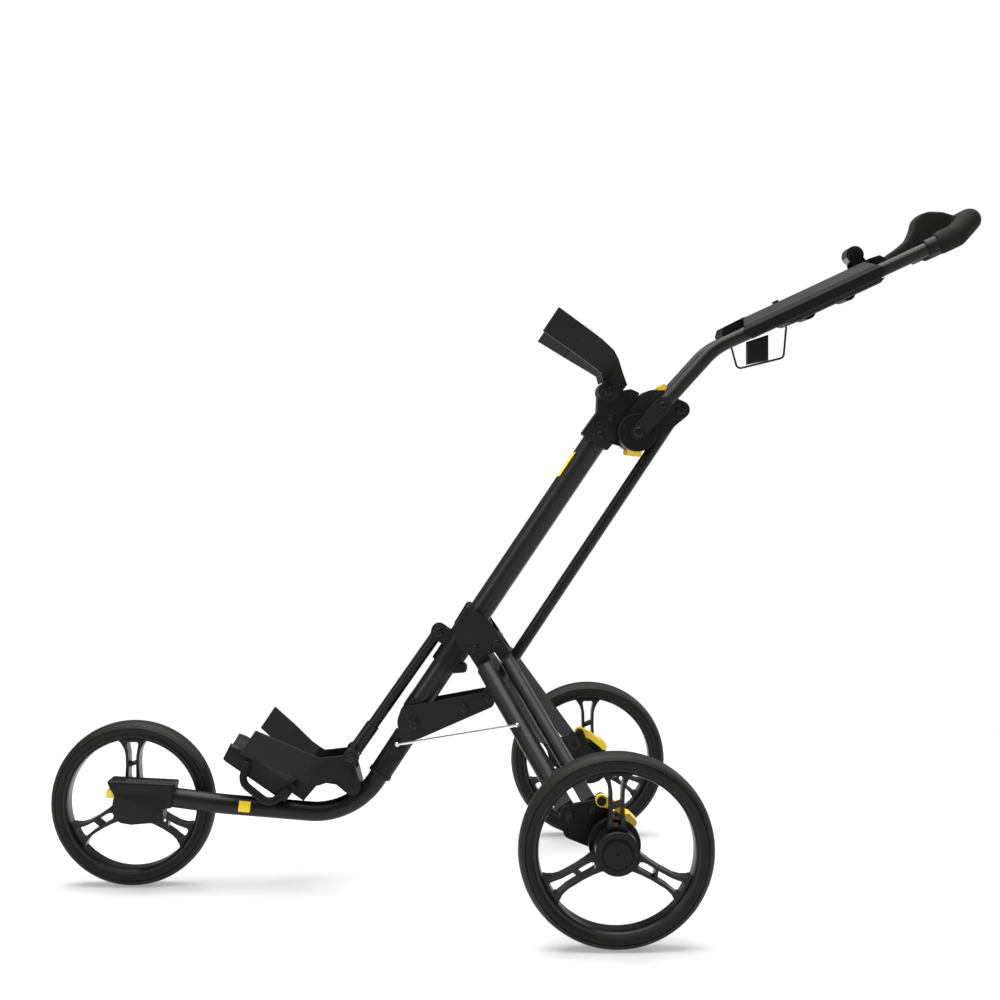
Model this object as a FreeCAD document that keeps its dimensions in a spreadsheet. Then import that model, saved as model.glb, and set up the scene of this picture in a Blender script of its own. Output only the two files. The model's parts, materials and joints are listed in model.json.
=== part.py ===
# Golf push trolley: three wheels, one backbone tube, a linked fold, two bag cradles.
# Frame: +Z up, -Y forward (front wheel), +X to the trolley's left; millimetres.
# Side-view positions are written as (y, z); "y_mid" is the middle of the overall
# length in those figures, so the box is centred on Y = 0.
import FreeCAD, Part
import os
import math
from FreeCAD import Vector, Placement, Rotation

doc = FreeCAD.newDocument("golf_push_trolley")
sheet = doc.addObject("Spreadsheet::Sheet", "Dims")
DIMS = [
    ("y_mid", 38.5, "middle of the overall length"),
    ("rear_wheel_rad", 127.0, "rear wheel, outer"),
    ("front_wheel_rad", 121.0, "front wheel, outer"),
    ("tyre_width", 42.0, "tyre section width"),
    ("tyre_depth", 19.5, "tyre section, tread to bead"),
    ("rim_depth", 7.0, "rim band, radial"),
    ("rim_width", 35.0, "rim band, across"),
    ("spoke_width", 22.0, "spoke blade, along the axle"),
    ("hub_rad", 28.0, "wheel hub barrel"),
    ("cap_rad", 28.5, "hub cap"),
    ("axle_rad", 6.0, "stub axle"),
    ("bearing_bore", 6.05, "hub bore radius"),
    ("track_half", 290.0, "tyre mid-plane to centre plane"),
    ("main_od", 35.0, "backbone tube"),
    ("main_wall", 1.8, "backbone tube wall"),
    ("front_od", 28.6, "front tube"),
    ("front_wall", 1.8, "front tube wall"),
    ("leg_front_od", 27.0, "front leg tube"),
    ("leg_rear_od", 21.0, "rear leg tube"),
    ("strut_od", 17.0, "long strut"),
    ("brace_od", 17.0, "cradle brace"),
    ("rod_od", 4.0, "tie rod"),
    ("handle_od", 20.0, "handle tube"),
    ("handle_wall", 1.6, "handle tube wall"),
    ("handle_half", 45.0, "handle tube to centre plane"),
    ("grip_od", 34.0, "foam grip"),
    ("plate_thick", 4.0, "pressed plates"),
    ("lever_thick", 4.0, "fold lever plates"),
    ("collar_rad", 21.5, "runner collar outside"),
    ("collar_bore", 17.58, "runner collar bore"),
    ("hub_plate", 10.0, "hub plate thickness"),
    ("wire_od", 3.0, "holder wire"),
]
for row, (alias, value, note) in enumerate(DIMS, 1):
    sheet.set("A%d" % row, note)
    sheet.set("B%d" % row, str(value))
    sheet.setAlias("B%d" % row, alias)
doc.recompute()
D = {alias: float(sheet.get(alias)) for alias, _, _ in DIMS}
YM = D["y_mid"]

# ---------------------------------------------------------------- helpers
NODES = []


def P(y, z, x=0.0):
    return Vector(x, y - YM, z)


def node(obj, name):
    obj.Label = name
    NODES.append((name, obj))
    return obj


def prim(kind, name):
    return doc.addObject("Part::" + kind, name)


def axis_place(p, q):
    d = q - p
    return Placement(p, Rotation(Vector(0, 0, 1), d)), d.Length


def rod(name, p, q, expr):
    """A cylinder from p to q, its radius bound to the sheet."""
    c = prim("Cylinder", name)
    c.Placement, height = axis_place(p, q)
    c.Height = height
    c.setExpression("Radius", expr)
    return c


def xrod(name, y, z, x0, x1, expr):
    return rod(name, P(y, z, x0), P(y, z, x1), expr)


def cut(name, base, tool):
    c = prim("Cut", name)
    c.Base = base
    c.Tool = tool
    return c


def fuse(name, *shapes):
    f = prim("MultiFuse", name)
    f.Shapes = list(shapes)
    return f


def feature(name, shape):
    f = prim("Feature", name)
    f.Shape = shape
    f.Placement = Placement()
    return f


def cyl(p, q, r):
    d = q - p
    return Part.makeCylinder(r, d.Length, p, d)


def xcyl(y, z, x0, x1, r):
    return cyl(P(y, z, x0), P(y, z, x1), r)


def hull_edges(circles):
    """Tangent outline round a set of circles [(y, z, r)], anticlockwise."""
    n = len(circles)
    pts = []
    for k in range(720):
        a = math.radians(k / 2.0)
        best = max(range(n), key=lambda i: circles[i][0] * math.cos(a) + circles[i][1] * math.sin(a) + circles[i][2])
        if not pts or pts[-1] != best:
            pts.append(best)
    if len(pts) > 1 and pts[0] == pts[-1]:
        pts.pop()
    out = []
    m = len(pts)
    tang = []
    for k in range(m):
        i, j = pts[k], pts[(k + 1) % m]
        (x0, y0, r0), (x1, y1, r1) = circles[i], circles[j]
        dx, dy = x1 - x0, y1 - y0
        dist = math.hypot(dx, dy)
        base = math.atan2(dy, dx)
        off = math.acos((r0 - r1) / dist)
        a = base - off
        tang.append((a, (x0 + r0 * math.cos(a), y0 + r0 * math.sin(a)), (x1 + r1 * math.cos(a), y1 + r1 * math.sin(a))))
    for k in range(m):
        i = pts[k]
        a0, a1 = tang[k - 1][0], tang[k][0]
        p0, p1 = tang[k - 1][2], tang[k][1]
        if a1 <= a0:
            a1 += 2 * math.pi
        am = 0.5 * (a0 + a1)
        cx, cy, r = circles[i]
        if r > 1e-6 and a1 - a0 > 1e-6:
            out.append(("arc", p0, (cx + r * math.cos(am), cy + r * math.sin(am)), p1))
        out.append(("line", p1, tang[k][2]))
    return out


def outline_wire(edges, x):
    made = []
    for e in edges:
        pts = [P(p[0], p[1], x) for p in e[1:]]
        if e[0] == "arc":
            made.append(Part.Arc(*pts).toShape())
        elif (pts[0] - pts[1]).Length > 1e-7:
            made.append(Part.LineSegment(*pts).toShape())
    return Part.Wire(made)


def slab(circles, x0, x1):
    return Part.Face(outline_wire(hull_edges(circles), x0)).extrude(Vector(x1 - x0, 0, 0))


def poly(points, x0, x1):
    """A prism of a (y, z) polygon between two X planes."""
    w = Part.makePolygon([P(y, z, x0) for y, z in points + points[:1]])
    return Part.Face(w).extrude(Vector(x1 - x0, 0, 0))


def body_plate(name, circles, x0, expr, holes=()):
    """PartDesign body: one sketch round the circles, one pad bound to the sheet."""
    body = doc.addObject("PartDesign::Body", name)
    plane = [o for o in body.Origin.OriginFeatures if o.Role == "YZ_Plane"][0]
    sk = body.newObject("Sketcher::SketchObject", name + "_sketch")
    sk.AttachmentSupport = [(plane, "")]
    sk.MapMode = "FlatFace"
    sk.AttachmentOffset = Placement(Vector(0, 0, x0), Rotation())
    for e in hull_edges(circles):
        pts = [Vector(p[0] - YM, p[1], 0) for p in e[1:]]
        if e[0] == "arc":
            arc = Part.Arc(*pts)
            sk.addGeometry(arc, False)
        elif (pts[0] - pts[1]).Length > 1e-7:
            sk.addGeometry(Part.LineSegment(*pts), False)
    for y, z, r in holes:
        sk.addGeometry(Part.Circle(Vector(y - YM, z, 0), Vector(0, 0, 1), r), False)
    pad = body.newObject("PartDesign::Pad", name + "_pad")
    pad.Profile = sk
    pad.setExpression("Length", expr)
    body.Tip = pad
    return body


def fillet_path(points, radii):
    """Straight runs joined by tangent arcs through a list of 3-D points."""
    edges = []
    start = points[0]
    for k in range(1, len(points) - 1):
        a, b, c = points[k - 1], points[k], points[k + 1]
        u = (a - b).normalize()
        w = (c - b).normalize()
        turn = math.pi - u.getAngle(w)
        t = radii[k - 1] * math.tan(turn / 2)
        p, q = b + u * t, b + w * t
        centre = b + (u + w).normalize() * (radii[k - 1] / math.cos(turn / 2))
        mid = centre + (b - centre).normalize() * radii[k - 1]
        if (p - start).Length > 1e-6:
            edges.append(Part.LineSegment(start, p).toShape())
        edges.append(Part.Arc(p, mid, q).toShape())
        start = q
    edges.append(Part.LineSegment(start, points[-1]).toShape())
    return Part.Wire(edges)


def pipe(points, radii, r, r_in=0.0):
    path = fillet_path(points, radii)
    d = (points[1] - points[0]).normalize()
    w = Part.Wire(Part.makeCircle(r, points[0], d))
    s = path.makePipeShell([w], True, False)
    if r_in:
        w2 = Part.Wire(Part.makeCircle(r_in, points[0], d))
        s = s.cut(path.makePipeShell([w2], True, False))
    return s


# directions in the side view: "up" runs along the backbone tube, "back" square to it
UP = (0.558 / math.hypot(0.558, 0.830), 0.830 / math.hypot(0.558, 0.830))
BK = (UP[1], -UP[0])


def tube_pt(t, c=0.0):
    """Point t along the backbone axis, c behind it."""
    return (-13.4 + t * UP[0] + c * BK[0], 398.9 + t * UP[1] + c * BK[1])


def local(origin, a, b):
    return (origin[0] + a * UP[0] + b * BK[0], origin[1] + a * UP[1] + b * BK[1])


# pivots, side view
HINGE_U = (217.0, 667.0)     # handle hinge
EAR_E = (282.0, 700.0)       # strut, upper pivot
LEVER_V = (2.0, 279.0)       # strut, lower pivot
HINGE_H = (-108.0, 241.0)    # front frame hinge
EAR_R = (-72.0, 373.5)       # brace, upper pivot on the runner
PIV_P = (-199.0, 193.0)      # brace, lower pivot on the bag cradle
LEG_A = (-18.9, 352.5)       # front leg, upper pivot
LEG_B = (13.1, 360.6)        # rear leg, upper pivot
LEG_A2 = (108.5, 157.5)      # front leg, lower pivot
LEG_B2 = (140.5, 165.6)      # rear leg, lower pivot
HUB_R = (166.0, 127.0)
HUB_F = (-522.0, 121.0)
ROD_F = (-132.0, 212.0)
CRADLE = (176.0, 726.0)      # upper cradle pivot
LEG_X0, LEG_X1 = 29.6, 218.0
ROD_E = (40.7, 261.2)
BRAKE = (150.0, 180.0)
HB = (252.5, 705.8)          # bolt through the handle tube ends


# ---------------------------------------------------------------- wheels
def revolve_body(name, profile, yz, x_mid):
    """PartDesign body: a closed (x, radius) profile turned about the axle line."""
    body = doc.addObject("PartDesign::Body", name)
    plane = [o for o in body.Origin.OriginFeatures if o.Role == "XZ_Plane"][0]
    sk = body.newObject("Sketcher::SketchObject", name + "_profile")
    sk.AttachmentSupport = [(plane, "")]
    sk.MapMode = "FlatFace"
    for k in range(len(profile)):
        a, b = profile[k], profile[(k + 1) % len(profile)]
        sk.addGeometry(Part.LineSegment(Vector(a[0], a[1], 0), Vector(b[0], b[1], 0)), False)
    rev = body.newObject("PartDesign::Revolution", name + "_turn")
    rev.Profile = sk
    rev.ReferenceAxis = (sk, ["H_Axis"])
    rev.Angle = 360
    body.Tip = rev
    body.Placement = Placement(P(yz[0], yz[1], x_mid), Rotation())
    return body


def arc_pts(cx, cy, r, a0, a1, n):
    return [(cx + r * math.cos(math.radians(a0 + (a1 - a0) * k / n)), cy + r * math.sin(math.radians(a0 + (a1 - a0) * k / n))) for k in range(n + 1)]


def wheel(tag, R, yz, x_mid, side):
    w2 = D["tyre_width"] / 2
    rb = R - D["tyre_depth"]
    # tyre: crowned tread, rounded shoulder, one moulded groove round each sidewall
    half = [(0.0, R), (7.0, R - 0.5), (12.5, R - 1.9), (16.5, R - 4.2), (19.3, R - 7.2), (20.2, R - 8.4), (19.4, R - 9.3), (20.6, R - 10.2),
            (w2, R - 12.5), (20.4, R - 15.5), (18.9, R - 18.0), (17.6, rb)]
    prof = half + [(-x, r) for x, r in reversed(half[1:])]
    node(revolve_body(tag + "_tyre", prof, yz, x_mid), tag + "_tyre")
    # rim: hub barrel, three double-bladed spokes, dished band
    body = doc.addObject("PartDesign::Body", tag + "_rim")
    planes = {o.Role: o for o in body.Origin.OriginFeatures}
    ri = rb - D["rim_depth"]
    rw = D["rim_width"] / 2

    def turn(sub, pts):
        sk = body.newObject("Sketcher::SketchObject", tag + sub)
        sk.AttachmentSupport = [(planes["XZ_Plane"], "")]
        sk.MapMode = "FlatFace"
        for k in range(len(pts)):
            a, b = pts[k], pts[(k + 1) % len(pts)]
            sk.addGeometry(Part.LineSegment(Vector(a[0], a[1], 0), Vector(b[0], b[1], 0)), False)
        f = body.newObject("PartDesign::Revolution", tag + sub + "_turn")
        f.Profile = sk
        f.ReferenceAxis = (sk, ["H_Axis"])
        f.Angle = 360
        return f

    hb, br = D["hub_rad"], D["bearing_bore"]
    turn("_hub", [(-20, br), (20, br), (20, hb - 2), (18, hb), (-18, hb), (-20, hb - 2)])
    doc.recompute()
    sk = body.newObject("Sketcher::SketchObject", tag + "_spoke")
    sk.AttachmentSupport = [(planes["YZ_Plane"], "")]
    sk.MapMode = "FlatFace"

    def loop(pts):
        for k in range(len(pts)):
            a, b = pts[k], pts[(k + 1) % len(pts)]
            sk.addGeometry(Part.LineSegment(Vector(a[0], a[1], 0), Vector(b[0], b[1], 0)), False)

    h0 = 24.0
    e = ri + 1.6
    right = [(14.0, h0), (11.6, h0 + 9), (10.4, h0 + 18), (9.6, h0 + 32), (10.2, ri - 22), (12.6, ri - 13), (17.0, ri - 5.5), (22.5, e - 1.2)]
    top = arc_pts(0, 0, e, 78.0, 102.0, 6)
    loop(right + top + [(-x, y) for x, y in reversed(right)])
    # two windows with rounded ends, parted by a slanted rib
    loop([(3.0, h0 + 8.5), (5.0, h0 + 12), (5.6, h0 + 18), (5.2, h0 + 34), (-5.2, h0 + 30), (-5.6, h0 + 18), (-5.0, h0 + 12), (-3.0, h0 + 8.5)])
    loop([(5.2, h0 + 38.5), (5.8, ri - 22), (7.6, ri - 12), (8.4, ri - 6.5), (6.5, ri - 3.8), (-6.5, ri - 3.8), (-8.4, ri - 6.5), (-7.6, ri - 12), (-5.8, ri - 22), (-5.2, h0 + 34.5)])
    pad = body.newObject("PartDesign::Pad", tag + "_spoke_pad")
    pad.Profile = sk
    pad.setExpression("Length", "Dims.spoke_width")
    pad.SideType = "Symmetric"
    doc.recompute()
    pat = body.newObject("PartDesign::PolarPattern", tag + "_spokes")
    pat.Originals = [pad]
    pat.Axis = (planes["X_Axis"], [""])
    pat.Angle = 360
    pat.Occurrences = 3
    body.Tip = pat
    doc.recompute()
    band = turn("_band", [(-rw, rb), (-rw, rb - 3.4), (-rw + 2.5, ri + 1.2), (-10, ri), (10, ri), (rw - 2.5, ri + 1.2), (rw, rb - 3.4), (rw, rb)])
    body.Tip = band
    body.Placement = Placement(P(yz[0], yz[1], x_mid), Rotation())
    node(body, tag + "_rim")
    # hub cap on the outer face, closed, with a raised centre
    c = D["cap_rad"]
    prof = [(0, 0), (0, c), (3.2, c), (4.6, c - 1.4), (4.6, 20.6), (4.0, 19.8), (4.0, 19.0), (5.6, 18.4), (6.4, 17.0), (6.8, 0)]
    cap = revolve_body(tag + "_cap", [(side * x, r) for x, r in prof], yz, x_mid + side * 20.0)
    node(cap, tag + "_hub_cap")


XW = D["track_half"]
wheel("front", D["front_wheel_rad"], HUB_F, 0.0, -1)
wheel("left", D["rear_wheel_rad"], HUB_R, XW, 1)
wheel("right", D["rear_wheel_rad"], HUB_R, -XW, -1)

# ---------------------------------------------------------------- backbone
a, b = tube_pt(-152), tube_pt(364.5)
outer = rod("main_outer", P(*a), P(*b), "Dims.main_od / 2")
a2, b2 = tube_pt(-160), tube_pt(372)
inner = rod("main_inner", P(*a2), P(*b2), "Dims.main_od / 2 - Dims.main_wall")
node(cut("main_tube", outer, inner), "main_tube")

RT = D["main_od"] / 2
foot = cyl(P(*tube_pt(-152)), P(*tube_pt(-130)), RT - D["main_wall"] - 0.05).fuse(cyl(P(*tube_pt(-172)), P(*tube_pt(-152)), 18.0))
foot = foot.fuse(slab([(HINGE_H[0], HINGE_H[1], 17.0), (*tube_pt(-162, 3), 14.5)], -18.0, 18.0).cut(cyl(P(*tube_pt(-152)), P(*tube_pt(-110)), RT + 6)))
foot = foot.cut(xcyl(*HINGE_H, -30, 30, 5.06))
node(feature("main_tube_foot", foot), "main_tube_foot")

# upper bracket: clamp on the tube top, a tongue for the handle hinge, a cradle boss
clamp = poly([(137.4, 664.6), (174.3, 640.1), (186.6, 654.1), (196.0, 668.0), (208.0, 700.0), (222.8, 724.6), (209.6, 730.4), (196.5, 728.2), (170.8, 711.1)], -24.0, 24.0)
clamp = clamp.makeFillet(3.0, [e for e in clamp.Edges if abs(e.tangentAt(e.FirstParameter).x) > 0.99])
br = clamp.cut(slab([(*HINGE_U, 29.0), (243.0, 703.0, 26.6)], 12.0, 60.0)).cut(slab([(*HINGE_U, 29.0), (243.0, 703.0, 26.6)], -60.0, -12.0))
br = br.cut(xcyl(250.0, 722.0, -20, 20, 12.0))
tongue = slab([(*HINGE_U, 26.0), (186.0, 662.0, 12.0), (188.0, 692.0, 12.0)], -12.0, 12.0)
lug = slab([(*CRADLE, 14.0), (*tube_pt(346, -10), 11.0), (*tube_pt(378, -4), 9.0)], -24.0, 24.0)
lug = lug.cut(slab([(*HINGE_U, 29.0), (243.0, 703.0, 26.6)], -60.0, 60.0))
br = br.fuse([tongue, lug])
br = br.cut(cyl(P(*tube_pt(280)), P(*tube_pt(364.6)), RT))
br = br.cut(xcyl(*HINGE_U, -60, 60, 6.0)).cut(xcyl(*CRADLE, -60, 60, 4.0))
BOLT_1, BOLT_2 = tube_pt(349.0), tube_pt(319.0)
for bp in (BOLT_1, BOLT_2):
    br = br.cut(xcyl(*bp, -60, 60, 3.0))
sols = sorted(br.Solids, key=lambda q: -q.Volume)
node(feature("upper_bracket", sols[0]), "upper_bracket")
fast = []
for bp in (BOLT_1, BOLT_2):
    for s in (-1, 1):
        fast.append(xcyl(*bp, s * RT, s * 24.0, 3.0).fuse(xcyl(*bp, s * 24.0, s * 25.6, 5.0)))
fast.append(xcyl(*CRADLE, -37.0, 37.0, 4.0).fuse(xcyl(*CRADLE, 37.0, 39.5, 6.5)).fuse(xcyl(*CRADLE, -39.5, -37.0, 6.5)))
fast.append(xcyl(*HINGE_U, -50.6, 50.6, 6.0).fuse(xcyl(*HINGE_U, 57.4, 60.0, 8.0)).fuse(xcyl(*HINGE_U, -60.0, -57.4, 8.0)).fuse(xcyl(*HINGE_U, -58, 58, 5.0)))
node(feature("bracket_pins", Part.makeCompound(fast)), "bracket_pins")

# ---------------------------------------------------------------- runner on the backbone
col_o = rod("collar_outer", P(*tube_pt(-90)), P(*tube_pt(-1)), "Dims.collar_rad")
col_i = rod("collar_inner", P(*tube_pt(-100)), P(*tube_pt(10)), "Dims.collar_bore")
ear = slab([(*EAR_R, 11.5), (*tube_pt(-53.8, -12), 11.5)], -13.4, 13.4)
toward = (-0.575, -0.818)
slot = slab([(*EAR_R, 12.8), (EAR_R[0] - 34.5, EAR_R[1] - 49.1, 12.8), (EAR_R[0] - 48.0, EAR_R[1] - 34.0, 12.8)], -8.9, 8.9)
ear = ear.cut(slot).cut(xcyl(*EAR_R, -30, 30, 4.0))
fill = poly([(-28.5, 413.5), (2.0, 391.5), (9.0, 380.0), (-49.0, 378.5)], -36.6, 36.6)
fill = fill.makeFillet(2.0, [e for e in fill.Edges if abs(e.tangentAt(e.FirstParameter).x) > 0.99])
block = slab([(*LEG_A, 10.0), (*LEG_B, 11.0), (-30.0, 372.0, 12.0)], -22.6, 22.6)
block = block.cut(xcyl(*LEG_A, -40, -10, 4.0)).cut(xcyl(*LEG_A, 10, 40, 4.0)).cut(xcyl(*LEG_B, -60, 60, 4.0))
pinch = slab([(*tube_pt(-84, 14), 8.0), (*tube_pt(-78, 25), 6.0)], -14.0, 14.0)
core = cyl(P(*tube_pt(-140)), P(*tube_pt(60)), D["collar_rad"] - 1.0)
extra = [feature("collar_part%d" % k, sh.cut(core)) for k, sh in enumerate((ear, fill, block, pinch))]
fused = fuse("collar_all", col_o, *extra)
bored = cut("collar_bored", fused, col_i)
ab = feature("collar_bolt_holes", Part.makeCompound([xcyl(*LEG_A, -40, -10, 4.0), xcyl(*LEG_A, 10, 40, 4.0)]))
node(cut("runner_collar", bored, ab), "runner_collar")

PLATE = [(-27.6, 407.2, 6.0), (-1.0, 388.2, 6.0), (12.0, 367.0, 7.0), (17.6, 357.4, 6.5), (-14.0, 346.4, 7.3), (-37.0, 357.5, 7.0), (-43.6, 380.0, 6.5)]
for side, x0 in (("left", 37.0), ("right", -41.0)):
    pl = body_plate("runner_plate_" + side, PLATE, x0, "Dims.plate_thick", [(*LEG_A, 4.0), (*LEG_B, 4.0)])
    node(pl, "runner_plate_" + side)

rb = []
for s in (-1, 1):
    rb.append(xcyl(*LEG_A, s * 10.0, s * 41.0, 4.0).fuse(xcyl(*LEG_A, s * 41.0, s * 43.6, 5.6)))
rb.append(xcyl(*LEG_B, -41.0, 41.0, 4.0).fuse(xcyl(*LEG_B, 41.0, 43.6, 5.6)).fuse(xcyl(*LEG_B, -43.6, -41.0, 5.6)))
rb.append(xcyl(*EAR_R, -13.4, 13.4, 4.0).fuse(xcyl(*EAR_R, 13.4, 15.8, 6.4)).fuse(xcyl(*EAR_R, -15.8, -13.4, 6.4)))
node(feature("runner_bolts", Part.makeCompound(rb)), "runner_bolts")


# ---------------------------------------------------------------- legs
def leg(name, top, od, s_x, half):
    dy, dz = LEG_A2[0] - LEG_A[0], LEG_A2[1] - LEG_A[1]
    n = math.hypot(dy, dz)
    dy, dz = dy / n, dz / n
    slope = (LEG_X1 - LEG_X0) / n

    def L(s, x, w=0.0):
        return P(top[0] + dy * s - dz * w, top[1] + dz * s + dy * w, s_x * x)

    p0, p1 = L(31, LEG_X0 + slope * 31), L(n - 29, LEG_X0 + slope * (n - 29))
    o = rod(name + "_tube", p0, p1, "Dims." + od + " / 2")
    lugs = []
    for pts, c, x0 in (
        ([(0, 24.2), (0, 36.2), (22, 36.2), (35, 50), (52, 67), (52, 55), (36, 42), (20, 24.2)], 0.0, 24.2),
        ([(n, 211.8), (n, 223.8), (n - 14, 223.8), (n - 31, 208), (n - 52, 191), (n - 52, 178), (n - 34, 192), (n - 17, 211.8)], n, 211.8),
    ):
        w = Part.makePolygon([L(s, x, -half) for s, x in pts + pts[:1]])
        pr = Part.Face(w).extrude(L(0, 0, half) - L(0, 0, -half))
        centre = (top[0] + dy * c, top[1] + dz * c)
        eye = xcyl(centre[0], centre[1], s_x * x0, s_x * (x0 + 12.0), half)
        lugs.append(pr.fuse(eye).cut(xcyl(centre[0], centre[1], s_x * (x0 - 20), s_x * (x0 + 40), 4.06 if c == 0 else 4.35)))
    if top is LEG_A:
        foot_pt = Vector(s_x * (145.6 - STUD[2] * 23), ROD_E[0] - YM - STUD[0] * 23, ROD_E[1] - STUD[1] * 23)
        sd = Vector(s_x * STUD[2], STUD[0], STUD[1])
        lugs.append(cyl(foot_pt + sd * 12.6, foot_pt + sd * 15.8, 2.6))
    lf = [feature("%s_lug%d" % (name, k), sh) for k, sh in enumerate(lugs)]
    node(fuse(name, o, *lf), name)


STUD = (-0.344, 0.527, 0.777)
for side, s in (("left", 1), ("right", -1)):
    leg("leg_front_" + side, LEG_A, "leg_front_od", s, 12.0)
    leg("leg_rear_" + side, LEG_B, "leg_rear_od", s, 9.6)
    # hub plate with its boss, the drum behind the wheel and two pivot bolts
    hp = body_plate("hub_plate_pad_" + side, [(*LEG_A2, 13.0), (*LEG_B2, 12.0), (*HUB_R, 22.0), (112.0, 138.0, 12.0)], 224.4 if s > 0 else -234.4, "Dims.hub_plate")
    bossf = xcyl(*HUB_R, s * 234.4, s * 252.0, 16.0).fuse(xcyl(*HUB_R, s * 252.0, s * 267.4, 34.0))
    bossf = bossf.fuse(xcyl(*LEG_A2, s * 212.6, s * 224.4, 4.0)).fuse(xcyl(*LEG_B2, s * 212.6, s * 224.4, 4.0))
    bossf = bossf.fuse(xcyl(*LEG_A2, s * 234.4, s * 237.0, 6.5)).fuse(xcyl(*LEG_B2, s * 234.4, s * 237.0, 6.5))
    bossf = bossf.fuse(slab([(*BRAKE, 6.5), (*LEG_B2, 8.0), (*HUB_R, 10.0)], s * 224.4, s * 234.4)).fuse(xcyl(*BRAKE, s * 234.4, s * 250.0, 4.0)).fuse(xcyl(*BRAKE, s * 249.0, s * 251.0, 6.0))
    bf = feature("hub_boss_" + side, bossf)
    ax = xrod("hub_bore_" + side, *HUB_R, s * 220.0, s * 280.0, "Dims.axle_rad")
    node(cut("hub_plate_" + side, fuse("hub_all_" + side, hp, bf), ax), "hub_plate_" + side)
    axle = fuse("axle_all_" + side, xrod("axle_shank_" + side, *HUB_R, s * 224.4, s * 309.4, "Dims.axle_rad"), xrod("axle_head_" + side, *HUB_R, s * 221.0, s * 224.4, "Dims.axle_rad + 3"))
    node(axle, "axle_" + side)
    # tie rod from the front frame to the leg
    f, l = P(*ROD_F, s * 30.0), P(*ROD_E, s * 145.6)
    shank = rod("rod_shank_" + side, f, l, "Dims.rod_od / 2")
    ball = feature("rod_ball_" + side, Part.makeCompound([Part.makeSphere(3.6, f), Part.makeSphere(3.2, l)]))
    node(fuse("tie_rod_" + side, shank, ball), "tie_rod_" + side)
    # brake lever on its own stud
    bar = slab([(*BRAKE, 8.0), (168.0, 174.0, 5.0)], s * 240.0, s * 248.0).fuse(slab([(168.0, 174.0, 5.0), (189.0, 156.0, 4.0)], s * 240.0, s * 248.0))
    bar = bar.fuse(slab([(183.0, 163.0, 4.6), (190.0, 155.5, 5.0)], s * 240.0, s * 266.0))
    bar = bar.cut(xcyl(*BRAKE, s * 230, s * 262, 4.06)).cut(xcyl(*HUB_R, s * 251.0, s * 269.0, 34.6))
    sols = sorted(bar.Solids, key=lambda q: -q.Volume)
    node(feature("brake_lever_" + side, sols[0]), "brake_lever_" + side)

# ---------------------------------------------------------------- front frame
FT = [P(-482.0, 140.7, 38.6), P(-388.0, 128.0, 38.6), P(-199.0, 102.5, 0.0), P(HINGE_H[0] - 23.0 * 0.55, HINGE_H[1] - 23.0 * 0.835)]
FR = [150.0, 100.0]
ft_outer = pipe(FT, FR, D["front_od"] / 2)
ft = ft_outer.cut(pipe(FT, FR, D["front_od"] / 2 - D["front_wall"]))
node(feature("front_tube", ft), "front_tube")


def ft_pt(s):
    return (HINGE_H[0] - s * 0.55, HINGE_H[1] - s * 0.835)


kn = cyl(P(*ft_pt(90)), P(*ft_pt(24)), 16.8).fuse(cyl(P(*ft_pt(94)), P(*ft_pt(89)), 18.0))
kn = kn.fuse(slab([(*ft_pt(32), 9.0), (*ft_pt(52), 13.0)], -19.5, 19.5))
for s in (-1, 1):
    kn = kn.fuse(xcyl(*ROD_F, s * 12.0, s * 25.4, 5.5))
kn = kn.cut(cyl(P(*ft_pt(105)), P(*ft_pt(18)), D["front_od"] / 2)).cut(xcyl(*HINGE_H, -19.5, 19.5, 20.0))
node(feature("front_knuckle", kn), "front_knuckle")

LEVER = [(-107.0, 243.0, 25.0), (-120.0, 222.0, 9.0), (0.0, 273.5, 10.0), (2.0, 279.0, 9.0)]
for side, x0 in (("left", 19.5), ("right", -23.5)):
    pl = body_plate("lever_plate_" + side, LEVER, x0, "Dims.lever_thick", [(*HINGE_H, 5.0), (-34.4, 263.5, 4.0), (*LEVER_V, 4.0)])
    node(pl, "lever_plate_" + side)
fb = xcyl(*HINGE_H, -23.5, 23.5, 5.0).fuse(xcyl(*HINGE_H, 23.5, 26.0, 7.5)).fuse(xcyl(*HINGE_H, -26.0, -23.5, 7.5))
bolts = [fb, xcyl(-34.4, 263.5, -23.5, 23.5, 4.0).fuse(xcyl(-34.4, 263.5, 23.5, 25.8, 6.2)).fuse(xcyl(-34.4, 263.5, -25.8, -23.5, 6.2))]
for s in (-1, 1):
    bolts.append(xcyl(*LEVER_V, s * 11.5, s * 23.5, 4.0).fuse(xcyl(*LEVER_V, s * 11.5, s * 19.5, 6.5)).fuse(xcyl(*LEVER_V, s * 23.5, s * 25.8, 6.2)))
for s in (-1, 1):
    bolts.append(xcyl(*PIV_P, s * 14.0, s * 33.5, 4.0).fuse(xcyl(*PIV_P, s * 14.0, s * 26.2, 6.5)).fuse(xcyl(*PIV_P, s * 33.5, s * 35.9, 6.4)))
node(feature("front_frame_bolts", Part.makeCompound(bolts)), "front_frame_bolts")

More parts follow.
